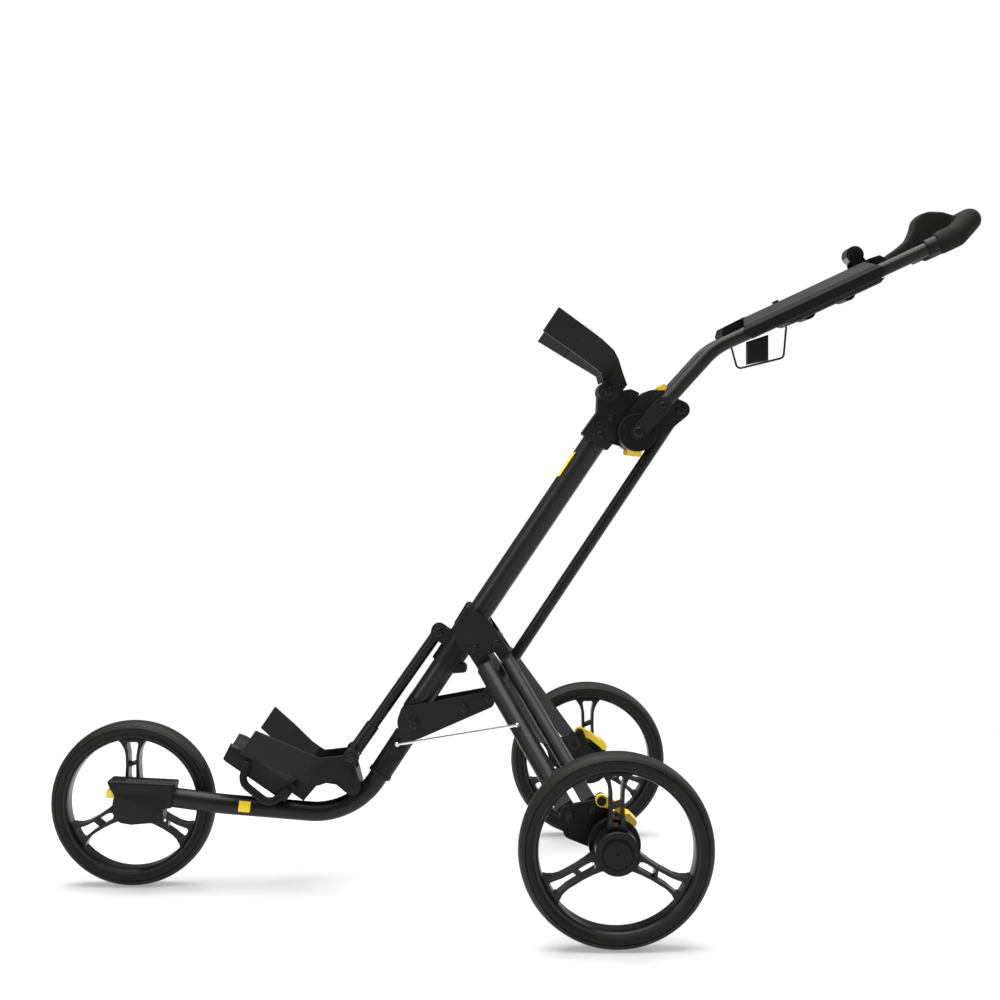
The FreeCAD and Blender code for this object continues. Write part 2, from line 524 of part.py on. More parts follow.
# one-sided fork housing over the front hub, with the tube in its socket
ho = poly([(-550.0, 165.0), (-546.0, 155.0), (-539.0, 143.0), (-540.0, 109.0), (-529.0, 103.0), (-514.0, 100.5), (-491.0, 102.5), (-469.0, 103.0), (-468.0, 123.0), (-455.5, 124.5), (-452.0, 151.0), (-450.3, 160.0)], 23.6, 57.0)
ho = ho.makeFillet(3.0, [e for e in ho.Edges if abs(e.tangentAt(e.FirstParameter).x) > 0.99])
cap_edges = [e for e in ho.Edges if all(abs(v.Point.x - 57.0) < 1e-6 for v in e.Vertexes)]
try:
    ho2 = ho.makeFillet(4.0, cap_edges)
    if ho2.isValid() and ho2.Volume > 0.8 * ho.Volume:
        ho = ho2
except Exception:
    pass
rid_a, rid_b = P(-520.0, 154.5, 43.5), P(-451.0, 150.0, 43.5)
ho = ho.fuse(cyl(rid_a, rid_b, 12.0)).fuse(Part.makeSphere(12.0, rid_a))
ho = ho.fuse(xcyl(*HUB_F, 21.2, 26.0, 19.5))
ho = ho.cut(cyl(FT[0], FT[0] + (FT[1] - FT[0]).normalize() * 90, D["front_od"] / 2)).cut(xcyl(*HUB_F, 10, 47.0, D["axle_rad"]))
ho = ho.cut(Part.makeBox(17, 20.5, 12.5, P(-556.0, 138.0, 33.5)))
node(feature("fork_housing", ho), "fork_housing")
node(fuse("front_axle_all", xrod("front_axle_shank", *HUB_F, -19.4, 47.0, "Dims.axle_rad"), xrod("front_axle_collar", *HUB_F, 20.3, 21.2, "Dims.axle_rad + 3")), "front_axle")
tab = Part.makeBox(16, 13.5, 11.5, P(-551.5, 138.5, 34.0))
tab = tab.makeFillet(2.5, [e for e in tab.Edges if abs(e.tangentAt(e.FirstParameter).x) > 0.9])
node(feature("wheel_release", tab), "wheel_release")


# ---------------------------------------------------------------- lower bag cradle
def plan_band(origin, line, thick, a0, a1, s_x):
    """A band that follows |x| as a function of the distance behind the pivot."""
    left, right = [], []
    for k, (b_, x_) in enumerate(line):
        if k == 0:
            t = (line[1][0] - b_, line[1][1] - x_)
        elif k == len(line) - 1:
            t = (b_ - line[k - 1][0], x_ - line[k - 1][1])
        else:
            t = (line[k + 1][0] - line[k - 1][0], line[k + 1][1] - line[k - 1][1])
        n = math.hypot(*t)
        nx, ny = -t[1] / n * thick / 2, t[0] / n * thick / 2
        left.append((b_ + nx, x_ + ny))
        right.append((b_ - nx, x_ - ny))
    ring = left + right[::-1]
    pts = [P(*local(origin, a0, b_), s_x * x_) for b_, x_ in ring]
    v = P(*local(origin, a1, 0)) - P(*local(origin, a0, 0))
    return Part.Face(Part.makePolygon(pts + pts[:1])).extrude(v)


for side, s in (("left", 1), ("right", -1)):
    side_out = [(-29, -136), (-67, -136), (-66, -86), (-69, -30), (-60, -17), (-37, 1), (-35, 14), (-23, 16), (0.5, 2), (0.5, -6), (-25.7, -36.7), (-28.2, -59), (-28, -97)]
    prism = poly([local(PIV_P, a_, b_) for a_, b_ in side_out], s * 15.0, s * 115.0)
    band = plan_band(PIV_P, [(-142, 104.5), (-114, 84), (-92, 68), (-76, 55), (-58, 41), (-44, 32.5), (-30, 30), (22, 30)], 7.0, -80, 20, s)
    arm = prism.common(band)
    arm = arm.fuse(xcyl(*PIV_P, s * 26.5, s * 33.5, 12.0)).cut(xcyl(*PIV_P, s * 10, s * 60, 4.0))
    node(feature("lower_cradle_arm_" + side, arm), "lower_cradle_arm_" + side)
# foot tray under the bag, with its upright between the arms
O = PIV_P
tray = poly([local(O, a_, b_) for a_, b_ in [(-103, -154), (-78, -157), (-76, -150), (-77, -42), (-104, -44)]], -45.0, 45.0)
tray = tray.makeFillet(9.0, [e for e in tray.Edges if (e.Vertexes[0].Point - e.Vertexes[-1].Point).Length < 40 and abs(e.tangentAt(e.FirstParameter).x) < 0.1 and local(O, 0, -120)[0] - YM > e.CenterOfMass.y])
dish = cyl(P(*local(O, -42.0, -210)), P(*local(O, -42.0, 10)), 52.0)
tray = tray.cut(dish)
up = poly([local(O, a_, b_) for a_, b_ in [(-92, -48), (-92, -22), (-38, -16), (-38, -40), (-76, -50)]], -26.2, 26.2)
tray = tray.fuse(up)
br_block = slab([(*local(O, -18, 10), 9.0), (*local(O, -34, 6), 12.0), (*local(O, -36, 26), 12.0)], -26.2, 26.2)
br_block = br_block.cut(slab([(PIV_P[0], PIV_P[1], 21.0), (*local(O, 30, 0), 24.0)], -13.0, 13.0))
tray = tray.fuse(br_block).fuse(poly([local(O, a_, b_) for a_, b_ in [(-60, -26), (-44, 8), (-28, 8), (-42, -26)]], -26.2, 26.2))
tray = tray.cut(pipe(FT, FR, D["front_od"] / 2)).cut(cyl(P(*ft_pt(95)), P(*ft_pt(10)), 18.02))
tray = tray.cut(slab([(PIV_P[0], PIV_P[1], 21.0), (*local(O, 30, 0), 24.0)], -13.0, 13.0))
sols = sorted(tray.Solids, key=lambda q: -q.Volume)
node(feature("lower_cradle_base", sols[0]), "lower_cradle_base")
loops = []
for s in (-1, 1):
    pts = [P(*local(O, -84, -122), s * 53.0), P(*local(O, -112, -112), s * 56.0), P(*local(O, -116, -62), s * 56.0), P(*local(O, -84, -48), s * 53.0)]
    loops.append(pipe(pts, [18.0, 18.0], 5.6))
node(feature("bag_strap_loops", Part.makeCompound(loops)), "bag_strap_loops")

# ---------------------------------------------------------------- brace and strut
dirp = (P(*PIV_P) - P(*EAR_R)).normalize()
e0, e1 = P(*EAR_R), P(*PIV_P)
brace = rod("brace_rod", e0 + dirp * 5, e1 - dirp * 42, "Dims.brace_od / 2")
top = feature("brace_eye", cyl(P(*EAR_R, -8.2), P(*EAR_R, 8.2), 9.5).cut(cyl(P(*EAR_R, -20), P(*EAR_R, 20), 4.06)))
bc = cut("brace_bored", brace, xrod("brace_bore", *EAR_R, -20.0, 20.0, "4.06 mm"))
fit = cyl(e1 - dirp * 52, e1 - dirp * 8, 10.2)
fit = fit.fuse(cyl(P(*PIV_P, -10.2), P(*PIV_P, 10.2), 9.0)).cut(cyl(P(*PIV_P, -20), P(*PIV_P, 20), 4.5))
node(fuse("brace_tube", bc, top, feature("brace_end", fit)), "brace_tube")
dirs = (P(*LEVER_V) - P(*EAR_E)).normalize()
e0, e1 = P(*EAR_E), P(*LEVER_V)
st = rod("strut_rod", e0 + dirs * 9, e1 - dirs * 9, "Dims.strut_od / 2")
se = feature("strut_eyes", Part.makeCompound([xcyl(*EAR_E, -8.5, 8.5, 11.0), xcyl(*LEVER_V, -8.5, 8.5, 10.0)]))
sb = feature("strut_bores", Part.makeCompound([xcyl(*EAR_E, -20, 20, 5.06), xcyl(*LEVER_V, -20, 20, 4.5)]))
node(cut("strut", fuse("strut_all", st, se), sb), "strut")

# ---------------------------------------------------------------- handle
ro = None
for s in (-1, 1):
    ck = slab([(*HINGE_U, 28.4), (243.0, 703.0, 26.0), (*EAR_E, 13.0)], s * 12.5, s * 28.0)
    ck = ck.fuse(xcyl(*EAR_E, s * 9.2, s * 12.5, 9.0))
    ro = ck if ro is None else ro.fuse(ck)
ro = ro.fuse(xcyl(250.0, 719.0, -12.5, 12.5, 8.0)).fuse(xcyl(259.0, 711.0, -12.5, 12.5, 6.0))
ro = ro.cut(xcyl(*HINGE_U, -60, 60, 6.06)).cut(xcyl(*EAR_E, -40, 40, 5.0)).cut(xcyl(*HB, -40, 40, 3.0))
node(feature("hinge_rotor", ro), "hinge_rotor")
hb = [xcyl(*EAR_E, -28.0, 28.0, 5.0).fuse(xcyl(*EAR_E, 28.0, 30.4, 7.0)).fuse(xcyl(*EAR_E, -30.4, -28.0, 7.0)),
      xcyl(*HB, -57.0, 57.0, 3.0).fuse(xcyl(*HB, 57.0, 58.6, 5.0)).fuse(xcyl(*HB, -58.6, -57.0, 5.0))]
node(feature("handle_bolts", Part.makeCompound(hb)), "handle_bolts")
HX = D["handle_half"]
HR = D["handle_od"] / 2
for side, s in (("left", 1), ("right", -1)):
    ht = [P(240.0, 690.7, s * HX), P(329.0, 789.0, s * HX), P(650.0, 939.0, s * HX)]
    dsk = xcyl(*HINGE_U, s * 31.0, s * 50.0, 28.0)
    rim = xcyl(*HINGE_U, s * 48.6, s * 60.0, 25.0).cut(xcyl(*HINGE_U, s * 48.0, s * 61.0, 13.0))
    arm = slab([(*HINGE_U, 11.5), (254.0, 706.0, 11.5)], s * 33.0, s * 57.0)
    dsk = dsk.cut(rim).fuse(arm)
    dsk = dsk.cut(cyl(ht[0], ht[0] + (ht[1] - ht[0]).normalize() * 70, HR)).cut(xcyl(*HINGE_U, s * 20, s * 51.0, 6.06)).cut(xcyl(*HINGE_U, s * 50.0, s * 70.0, 5.2))
    dsk = dsk.cut(xcyl(*HINGE_U, s * 57.2, s * 70, 9.0)).cut(xcyl(*HB, s * 20, s * 70, 3.0))
    node(feature("hinge_disc_" + side, dsk), "hinge_disc_" + side)
    tb = pipe(ht, [90.0], HR, HR - D["handle_wall"])
    tb = tb.cut(xcyl(*HB, s * 20, s * 70, 3.0))
    node(feature("handle_tube_" + side, tb), "handle_tube_" + side)

C0 = (329.0, 789.0)
CD = (650.0 - C0[0], 939.0 - C0[1])
CL = math.hypot(*CD)
CD = (CD[0] / CL, CD[1] / CL)


def con(c, n, x=0.0):
    return P(C0[0] + c * CD[0] - n * CD[1], C0[1] + c * CD[1] + n * CD[0], x)


def con_yz(c, n):
    return (C0[0] + c * CD[0] - n * CD[1], C0[1] + c * CD[1] + n * CD[0])


def con_prism(section, c0, c1):
    """Section in (x, n), run along the console from c0 to c1."""
    pts = [con(c0, n, x) for x, n in section]
    return Part.Face(Part.makePolygon(pts + pts[:1])).extrude(con(c1, 0) - con(c0, 0))


def con_side(outline, x0, x1):
    """Outline in (c, n), run across the console from x0 to x1."""
    return poly([con_yz(c, n) for c, n in outline], x0, x1)


shell = con_prism([(-58, -8), (-58, 5), (-53, 11), (-42, 17), (-34, 22), (34, 22), (42, 17), (53, 11), (58, 5), (58, -8), (54, -11), (37, -11), (34, -8), (34, 10), (-34, 10), (-34, -8), (-37, -11), (-54, -11)], 47, 268)
# side view trims: rounded nose and tail on the fairings
nose = con_side([(19, 9), (19, 14), (26, 22), (60, 23), (60, 9)], -34.0, 34.0)
tail = con_side([(260, 9), (260, 23), (276, 21), (282, 14), (282, 9)], -34.0, 34.0)
for s in (-1, 1):
    wedge = con_side([(40, 30), (40, 4), (47, 4), (62, 30)], s * 34.01, s * 70.0)
    wedge2 = con_side([(290, 30), (290, 2), (268, 2), (244, 30)], s * 34.01, s * 70.0)
    under = con_side([(40, -20), (40, -3), (47, -3), (66, -20)], s * 20.0, s * 70.0)
    under2 = con_side([(290, -20), (290, -2), (268, -2), (250, -20)], s * 20.0, s * 70.0)
    shell = shell.cut(wedge).cut(wedge2).cut(under).cut(under2)
shell = shell.fuse([nose, tail])
dish = con_prism([(-20, 18.5), (-23.5, 30), (23.5, 30), (20, 18.5)], 38, 150)
dish2 = con_prism([(-20, 18.5), (-23.5, 30), (23.5, 30), (20, 18.5)], 158, 228)
shell = shell.cut(dish).cut(dish2)
for s in (-1, 1):
    shell = shell.cut(cyl(con(-60, 0, s * HX), con(CL + 60, 0, s * HX), HR))
KN = con_yz(249.0, 36.8)
for s in (-1, 1):
    shell = shell.fuse(slab([(*KN, 6.5), (*con_yz(249.0, 20.0), 10.0)], s * 16.6, s * 20.6))
shell = shell.fuse(xcyl(*KN, -20.6, 20.6, 3.0))
shell = shell.cut(Part.makeCylinder(5.6, 20, con(111, 13, 28.2), con(111, 30) - con(111, 8)))
sols = sorted(shell.Solids, key=lambda q: -q.Volume)
node(feature("console_tray", sols[0]), "console_tray")
cover = con_prism([(-50, -11), (-48, -14), (-42, -16.3), (42, -16.3), (48, -14), (50, -11)], 111, 266)
cover = cover.cut(con_side([(100, -20), (100, -11), (111, -11), (122, -20)], -60, 60)).cut(con_side([(280, -20), (280, -11), (266, -11), (252, -20)], -60, 60))
for c_ in (148, 212):
    lobe = cyl(con(c_, -9.0, -30), con(c_, -9.0, 30), 11.6)
    cover = cover.fuse(lobe.cut(con_prism([(-60, -11), (-60, 40), (60, 40), (60, -11)], 100, 300)))
node(feature("console_cover", cover), "console_cover")
btn = Part.makeCylinder(5.25, 9.6, con(111, 15.5, 28.2), con(111, 30) - con(111, 8))
node(feature("clip_button", btn), "clip_button")
kb = xcyl(*KN, -16.0, 16.0, 12.8).cut(xcyl(*KN, -20.0, 20.0, 3.06))
node(feature("accessory_knob", kb), "accessory_knob")
# wire loop under the console with its hanging clip
WR = D["wire_od"] / 2
wire = pipe([con(33.0, 8.6), con(24.0, -42.4), P(437.0, 777.5), con(116.0, -16.4)], [7.0, 7.0], WR)
wa, wb = con(24.0, -42.4), P(437.0, 777.5)
clip = poly([(383.0, 767.0), (413.0, 773.0), (413.0, 811.0), (383.0, 801.0)], -11.0, 11.0)
clip = clip.makeFillet(2.0, [e for e in clip.Edges if abs(e.tangentAt(e.FirstParameter).x) < 0.5])
node(feature("wire_holder", wire.fuse(clip)), "wire_holder")

# foam grip: a loop over the two tube ends with a centre arch, and the two cuffs
gx = D["grip_od"] / 2
G = [P(650.0, 939.0, HX), con(CL + 31.0, 0.0, HX), P(703.0, 977.0, 28.0), P(703.0, 977.0, -28.0), con(CL + 31.0, 0.0, -HX), P(650.0, 939.0, -HX)]
G[0], G[5] = con(CL, 0, HX), con(CL, 0, -HX)
gr = Part.makeSphere(gx, G[1])
for k in range(1, 4):
    gr = gr.fuse(cyl(G[k], G[k + 1], gx))
for k, m_ in ((0, 1), (5, 4)):
    gr = gr.fuse(cyl(G[k], G[m_], gx))
for q in (G[2], G[3], G[4]):
    gr = gr.fuse(Part.makeSphere(gx, q))
arch = poly([(585.5, 918.0), (588.0, 928.0), (604.0, 939.0), (617.0, 950.0), (623.0, 963.0), (627.0, 979.0), (634.0, 987.0), (648.0, 992.0), (668.0, 991.0), (688.0, 985.0), (701.0, 980.0), (701.0, 972.0), (680.0, 962.0), (662.0, 957.0), (650.0, 944.0), (641.0, 935.0), (610.0, 918.5), (594.0, 911.0)], -16.2, 16.2)
arch = arch.cut(con_prism([(-60, 0), (-60, 40), (60, 40), (60, 0)], 240, 282.02))
grip = gr.fuse(arch)
sols = sorted(grip.Solids, key=lambda q: -q.Volume)
node(feature("grip", sols[0]), "grip")
cuffs = []
for s in (-1, 1):
    cuffs.append(cyl(con(CL - 16, 0, s * HX), con(CL, 0, s * HX), 13.4).cut(cyl(con(CL - 30, 0, s * HX), con(CL + 9, 0, s * HX), HR)))
node(feature("grip_cuffs", Part.makeCompound(cuffs)), "grip_cuffs")

# hinge lock: a finger on each side of the rotor, joined by a cross bar
lk = xcyl(256.5, 733.0, -30.6, 30.6, 4.4)
for s in (-1, 1):
    arm = slab([(*HINGE_U, 12.0), (256.5, 733.0, 4.4)], s * 28.4, s * 30.6)
    arm = arm.fuse(slab([(*HINGE_U, 12.0), (206.0, 636.5, 3.2), (221.0, 634.5, 3.2)], s * 28.4, s * 30.6))
    lk = lk.fuse(arm)
lk = lk.cut(xcyl(*HINGE_U, -70, 70, 6.06))
node(feature("hinge_lock", lk), "hinge_lock")

# ---------------------------------------------------------------- upper bag cradle
for side, s in (("left", 1), ("right", -1)):
    side_out = [(14, -128), (54, -128), (54, -52), (52, -28), (46, -14), (23.6, 17), (10, 16), (-2, 10), (-2, -8), (3.4, -13), (14.5, -24), (15, -40)]
    prism = poly([local(CRADLE, a_, b_) for a_, b_ in side_out], s * 20.0, s * 130.0)
    band = plan_band(CRADLE, [(-134, 115), (-104, 103), (-78, 92), (-58, 81), (-40, 69), (-24, 54), (-12, 41), (-2, 34), (8, 30.6), (22, 30)], 7.0, -20, 70, s)
    arm = prism.common(band)
    arm = arm.fuse(xcyl(*CRADLE, s * 26.5, s * 36.6, 15.0)).cut(xcyl(*CRADLE, s * 15, s * 60, 4.06))
    arm = arm.cut(xcyl(*CRADLE, s * 36.9, s * 60, 16.0))
    sols = sorted(arm.Solids, key=lambda q: -q.Volume)
    node(feature("upper_cradle_arm_" + side, sols[0]), "upper_cradle_arm_" + side)
pads = []
for s in (-1, 1):
    band = plan_band(CRADLE, [(-127, 108.8), (-104, 99.6), (-80, 89.6)], 2.6, 15, 53, s)
    pads.append(band)
arms = [o.Shape for n_, o in NODES if n_.startswith("upper_cradle_arm")]
pads = [p.cut(arms[0]).cut(arms[1]) for p in pads]
pads = [sorted(p.Solids, key=lambda q: -q.Volume)[0] for p in pads]
node(feature("upper_cradle_pads", Part.makeCompound(pads)), "upper_cradle_pads")

# ---------------------------------------------------------------- check and write
doc.recompute()
bad = [o.Name for o in doc.Objects if any(w_ in o.State for w_ in ("Invalid", "Error"))]
if bad:
    raise SystemExit("objects failed: %s" % bad)
labels = [n_ for n_, _ in NODES]
assert len(set(labels)) == len(labels), "labels repeat"
assert len(NODES) <= 60, len(NODES)
for name, obj in NODES:
    sh = obj.Shape
    if sh.isNull() or not sh.isValid() or not sh.Solids:
        raise SystemExit("bad shape: " + name)
os.makedirs("parts", exist_ok=True)
for old in os.listdir("parts"):
    if old.endswith(".step") and old[:-5] not in labels:
        os.remove(os.path.join("parts", old))
lo, hi = [1e9] * 3, [-1e9] * 3
for name, obj in NODES:
    sh = obj.Shape
    sh.exportStep(os.path.join("parts", name + ".step"))
    bb = sh.optimalBoundingBox(False) if hasattr(sh, "optimalBoundingBox") else sh.BoundBox
    for k, (l_, h_) in enumerate(((bb.XMin, bb.XMax), (bb.YMin, bb.YMax), (bb.ZMin, bb.ZMax))):
        lo[k], hi[k] = min(lo[k], l_), max(hi[k], h_)
    print("%-26s solids %2d volume %10.1f  Y %.1f..%.1f  Z %.1f..%.1f" % (name, len(sh.Solids), sh.Volume, bb.YMin, bb.YMax, bb.ZMin, bb.ZMax))
print("nodes", len(NODES), "box", [round(v, 2) for v in lo], [round(v, 2) for v in hi])
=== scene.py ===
import bpy, bmesh, json, math
from mathutils import Vector, Matrix
from mathutils.bvhtree import BVHTree


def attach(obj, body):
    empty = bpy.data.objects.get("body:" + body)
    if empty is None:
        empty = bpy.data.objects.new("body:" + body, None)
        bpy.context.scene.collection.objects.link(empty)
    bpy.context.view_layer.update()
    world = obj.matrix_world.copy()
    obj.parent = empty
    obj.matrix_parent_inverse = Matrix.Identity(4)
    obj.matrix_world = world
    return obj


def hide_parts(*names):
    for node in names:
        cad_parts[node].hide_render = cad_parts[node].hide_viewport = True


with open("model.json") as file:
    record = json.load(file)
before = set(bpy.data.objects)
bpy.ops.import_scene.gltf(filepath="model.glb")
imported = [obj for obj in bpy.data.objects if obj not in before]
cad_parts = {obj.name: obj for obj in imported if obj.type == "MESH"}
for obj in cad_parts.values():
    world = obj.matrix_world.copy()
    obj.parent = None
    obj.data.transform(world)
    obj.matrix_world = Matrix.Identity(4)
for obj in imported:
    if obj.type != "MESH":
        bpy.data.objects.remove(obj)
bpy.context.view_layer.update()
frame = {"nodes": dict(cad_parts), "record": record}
NODES = frame["nodes"]
YM = 38.5


def pt(y, z, x=0.0):
    return Vector((x / 1000.0, (y - YM) / 1000.0, z / 1000.0))


# ------------------------------------------------------------------ materials
def material(name, base, rough=0.45, metal=0.0, grain=900.0, bump=0.15, dist=0.0002, vary=0.25, wear=0.35, rvary=0.08,
             coat=0.0, spec=0.5, second=None, speck=0.0):
    m = bpy.data.materials.new(name)
    m.use_nodes = True
    nt = m.node_tree
    nt.nodes.clear()
    N = nt.nodes.new
    L = nt.links.new
    out = N("ShaderNodeOutputMaterial")
    bs = N("ShaderNodeBsdfPrincipled")
    L(bs.outputs[0], out.inputs[0])
    bs.inputs["Metallic"].default_value = metal
    bs.inputs["Specular IOR Level"].default_value = spec
    bs.inputs["Coat Weight"].default_value = coat
    bs.inputs["Coat Roughness"].default_value = 0.25
    tc = N("ShaderNodeTexCoord")
    # broad, slow variation of colour: dust and handling
    n1 = N("ShaderNodeTexNoise")
    n1.inputs["Scale"].default_value = 14.0
    n1.inputs["Detail"].default_value = 6.0
    L(tc.outputs["Object"], n1.inputs["Vector"])
    r1 = N("ShaderNodeValToRGB")
    lo = [c * (1.0 - vary) for c in base]
    hi = [min(1.0, c * (1.0 + vary)) for c in base]
    r1.color_ramp.elements[0].position = 0.32
    r1.color_ramp.elements[0].color = (*lo, 1)
    r1.color_ramp.elements[1].position = 0.68
    r1.color_ramp.elements[1].color = (*hi, 1)
    L(n1.outputs["Fac"], r1.inputs["Fac"])
    col = r1.outputs["Color"]
    # rubbed edges: a little lighter where the surface turns
    if wear:
        g = N("ShaderNodeNewGeometry")
        rp = N("ShaderNodeValToRGB")
        rp.color_ramp.elements[0].position = 0.53
        rp.color_ramp.elements[0].color = (0, 0, 0, 1)
        rp.color_ramp.elements[1].position = 0.62
        rp.color_ramp.elements[1].color = (1, 1, 1, 1)
        L(g.outputs["Pointiness"], rp.inputs["Fac"])
        mx = N("ShaderNodeMix")
        mx.data_type = "RGBA"
        mt = N("ShaderNodeMath")
        mt.operation = "MULTIPLY"
        mt.inputs[1].default_value = wear
        L(rp.outputs["Color"], mt.inputs[0])
        L(mt.outputs[0], mx.inputs["Factor"])
        L(col, mx.inputs[6])
        mx.inputs[7].default_value = (*(second or [min(1.0, c * 2.4 + 0.012) for c in base]), 1)
        col = mx.outputs[2]
    if speck:
        ns = N("ShaderNodeTexNoise")
        ns.inputs["Scale"].default_value = 2600.0
        ns.inputs["Detail"].default_value = 1.0
        L(tc.outputs["Object"], ns.inputs["Vector"])
        rs = N("ShaderNodeValToRGB")
        rs.color_ramp.elements[0].position = 0.62
        rs.color_ramp.elements[0].color = (0, 0, 0, 1)
        rs.color_ramp.elements[1].position = 0.74
        rs.color_ramp.elements[1].color = (1, 1, 1, 1)
        L(ns.outputs["Fac"], rs.inputs["Fac"])
        m2 = N("ShaderNodeMath")
        m2.operation = "MULTIPLY"
        m2.inputs[1].default_value = speck
        L(rs.outputs["Color"], m2.inputs[0])
        mx2 = N("ShaderNodeMix")
        mx2.data_type = "RGBA"
        L(m2.outputs[0], mx2.inputs["Factor"])
        L(col, mx2.inputs[6])
        mx2.inputs[7].default_value = (*[min(1.0, c * 3.0 + 0.03) for c in base], 1)
        col = mx2.outputs[2]
    L(col, bs.inputs["Base Color"])
    # roughness: patchy, finer than the colour
    n2 = N("ShaderNodeTexNoise")
    n2.inputs["Scale"].default_value = 42.0
    n2.inputs["Detail"].default_value = 8.0
    L(tc.outputs["Object"], n2.inputs["Vector"])
    mr = N("ShaderNodeMapRange")
    mr.inputs["To Min"].default_value = max(0.03, rough - rvary)
    mr.inputs["To Max"].default_value = min(1.0, rough + rvary)
    L(n2.outputs["Fac"], mr.inputs["Value"])
    L(mr.outputs[0], bs.inputs["Roughness"])
    # the surface's own grain
    n3 = N("ShaderNodeTexNoise")
    n3.inputs["Scale"].default_value = grain
    n3.inputs["Detail"].default_value = 3.0
    L(tc.outputs["Object"], n3.inputs["Vector"])
    bp = N("ShaderNodeBump")
    bp.inputs["Strength"].default_value = bump
    bp.inputs["Distance"].default_value = dist
    L(n3.outputs["Fac"], bp.inputs["Height"])
    L(bp.outputs[0], bs.inputs["Normal"])
    return m


M = {
    "frame_paint": material("frame_paint", (0.0052, 0.0050, 0.0048), rough=0.34, grain=1500, bump=0.22, dist=0.00012, speck=0.08, spec=0.26),
    "tube_paint": material("tube_paint", (0.0062, 0.0059, 0.0055), rough=0.38, grain=1500, bump=0.24, dist=0.00012, speck=0.10, spec=0.24),
    "bracket_alloy": material("bracket_alloy", (0.0034, 0.0033, 0.0032), rough=0.44, grain=1100, bump=0.30, dist=0.00018, wear=0.40, spec=0.20),
    "black_steel": material("black_steel", (0.010, 0.010, 0.010), rough=0.30, metal=0.6, grain=600, bump=0.12),
    "bright_steel": material("bright_steel", (0.80, 0.80, 0.79), rough=0.24, metal=1.0, grain=700, bump=0.10, vary=0.06, wear=0.0),
    "moulded_plastic": material("moulded_plastic", (0.0032, 0.0032, 0.0031), rough=0.46, grain=1700, bump=0.38, dist=0.00018, spec=0.20),
    "rim_plastic": material("rim_plastic", (0.0042, 0.0042, 0.0042), rough=0.32, grain=1300, bump=0.18, dist=0.00014, wear=0.5, spec=0.26),
    "cap_plastic": material("cap_plastic", (0.0040, 0.0040, 0.0040), rough=0.38, grain=1500, bump=0.20, dist=0.00014, spec=0.20),
    "gloss_plastic": material("gloss_plastic", (0.0022, 0.0022, 0.0022), rough=0.18, grain=500, bump=0.06, wear=0.2, coat=0.2, spec=0.4),
    "tyre": material("tyre", (0.0060, 0.0056, 0.0050), rough=0.60, grain=2000, bump=0.5, dist=0.00025, wear=0.30, vary=0.3, speck=0.10, spec=0.26),
    "foam": material("foam", (0.0066, 0.0060, 0.0054), rough=0.80, grain=2400, bump=0.8, dist=0.0004, wear=0.15, speck=0.2, spec=0.25),
    "soft_rubber": material("soft_rubber", (0.0034, 0.0034, 0.0034), rough=0.58, grain=1800, bump=0.4, dist=0.0003, spec=0.20),
    "wire_black": material("wire_black", (0.0060, 0.0060, 0.0060), rough=0.38, grain=1200, bump=0.15, spec=0.26),
    "yellow_plastic": material("yellow_plastic", (0.95, 0.64, 0.022), rough=0.36, grain=900, bump=0.15, vary=0.08, wear=0.25, second=(0.98, 0.80, 0.24)),
}

# moulded pieces have fuller edges than pressed and machined ones
EDGE = {"console_tray": 0.0028, "console_cover": 0.0016, "lower_cradle_base": 0.0026, "fork_housing": 0.0026,
        "upper_cradle_arm_left": 0.0012, "upper_cradle_arm_right": 0.0012, "lower_cradle_arm_left": 0.0012,
        "lower_cradle_arm_right": 0.0012, "accessory_knob": 0.0015, "upper_bracket": 0.0014}

def tabs_only(src, dark, z_low, z_high):
    """Copy of a material whose colour is dark between two heights of the piece."""
    m = src.copy()
    m.name = src.name + "_tabs"
    nt = m.node_tree
    bs = next(n for n in nt.nodes if n.type == "BSDF_PRINCIPLED")
    old = bs.inputs["Base Color"].links[0].from_socket
    tc = nt.nodes.new("ShaderNodeTexCoord")
    sp = nt.nodes.new("ShaderNodeSeparateXYZ")
    nt.links.new(tc.outputs["Object"], sp.inputs[0])
    a = nt.nodes.new("ShaderNodeMath")
    a.operation = "GREATER_THAN"
    a.inputs[1].default_value = z_low
    b = nt.nodes.new("ShaderNodeMath")
    b.operation = "LESS_THAN"
    b.inputs[1].default_value = z_high
    c = nt.nodes.new("ShaderNodeMath")
    c.operation = "MULTIPLY"
    nt.links.new(sp.outputs[2], a.inputs[0])
    nt.links.new(sp.outputs[2], b.inputs[0])
    nt.links.new(a.outputs[0], c.inputs[0])
    nt.links.new(b.outputs[0], c.inputs[1])
    mx = nt.nodes.new("ShaderNodeMix")
    mx.data_type = "RGBA"
    nt.links.new(c.outputs[0], mx.inputs["Factor"])
    nt.links.new(old, mx.inputs[6])
    mx.inputs[7].default_value = (*dark, 1)
    nt.links.new(mx.outputs[2], bs.inputs["Base Color"])
    return m


CONSOLE = material("console_plastic", (0.0026, 0.0026, 0.0025), rough=0.50, grain=1600, bump=0.36, dist=0.00018, spec=0.10)
LOCK = tabs_only(M["yellow_plastic"], (0.004, 0.004, 0.004), 0.643, 0.7285)

SLOT = {s["node"]: s["material_slot"] for s in frame["record"]["subparts"]}
for name, ob in NODES.items():
    ob.data.materials.clear()
    ob.data.materials.append(LOCK if name == "hinge_lock" else CONSOLE if name.startswith("console_") else M[SLOT[name]])
    if name.split("_")[-1] in ("tube", "strut") or name.endswith(("tyre",)):
        continue
    bv = ob.modifiers.new("soft_edges", "BEVEL")
    bv.width = EDGE.get(name, 0.0006)
    bv.segments = 3 if name in EDGE else 2
    bv.limit_method = "ANGLE"
    bv.angle_limit = math.radians(38)
    bv.use_clamp_overlap = True


